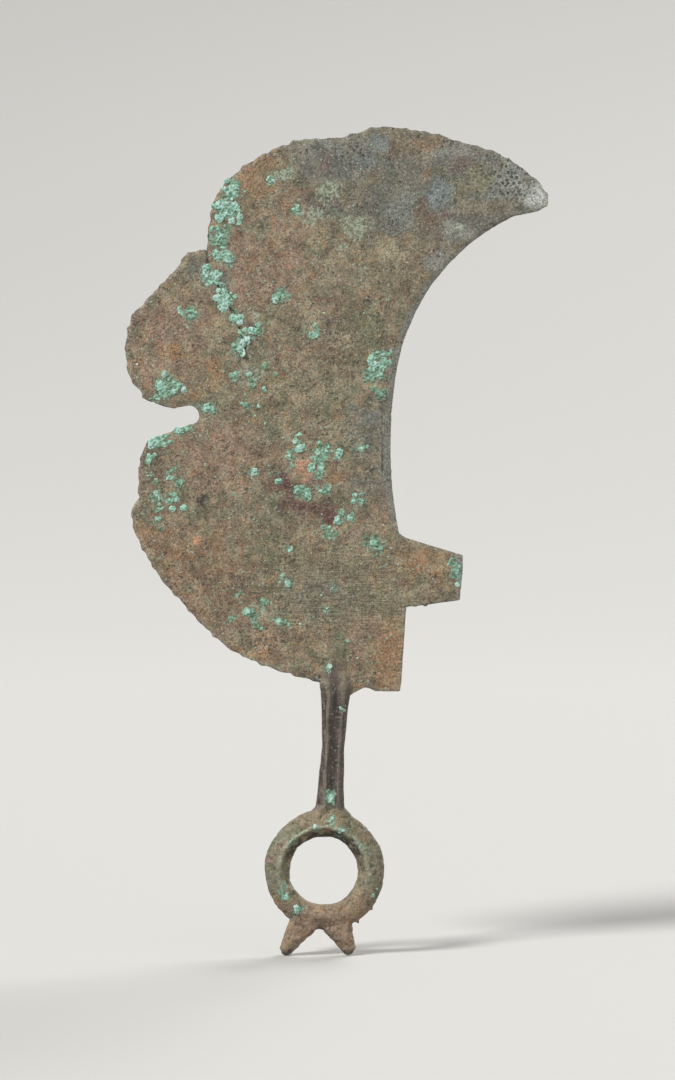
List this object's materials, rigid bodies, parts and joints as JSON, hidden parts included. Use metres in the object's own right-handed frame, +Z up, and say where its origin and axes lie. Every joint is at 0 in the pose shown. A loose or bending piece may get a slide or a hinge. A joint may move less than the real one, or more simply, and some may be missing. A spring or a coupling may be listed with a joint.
{
  "type": "bronze razor",
  "caption": "Thin half-moon bronze blade with a hollow back, spur and heel, on a ridged stem that ends in a suspension ring with two small prongs.",
  "frame": {"origin": "centre of the suspension ring's bore", "axes": "+Z up the stem to the blade's tip; +Y along the ring's bore, from the front of the blade to its back; the concave back of the blade is on the +X side"},
  "size_m": [0.0765, 0.0051, 0.1491],
  "materials": {
    "blade_bronze": "rough brown patina with fine pitting and specks",
    "stem_bronze": "smooth dark patina, slightly glossy",
    "ring_bronze": "rough buff and green patina over brown",
    "green_crust": "matt, granular mint-green mineral crust"
  },
  "bodies": {
    "root": {"blade": "blade_bronze", "edge_fragment": "blade_bronze", "stem": "stem_bronze", "suspension_ring": "ring_bronze", "left_prong": "ring_bronze", "right_prong": "ring_bronze", "notch_crust": "green_crust", "crack_crust": "green_crust", "back_crust": "green_crust", "slit_crust": "green_crust", "rim_crust": "green_crust", "belly_crust": "green_crust", "heel_crust": "green_crust", "spur_crust": "green_crust", "ring_crust": "green_crust"}
  },
  "joints": []
}
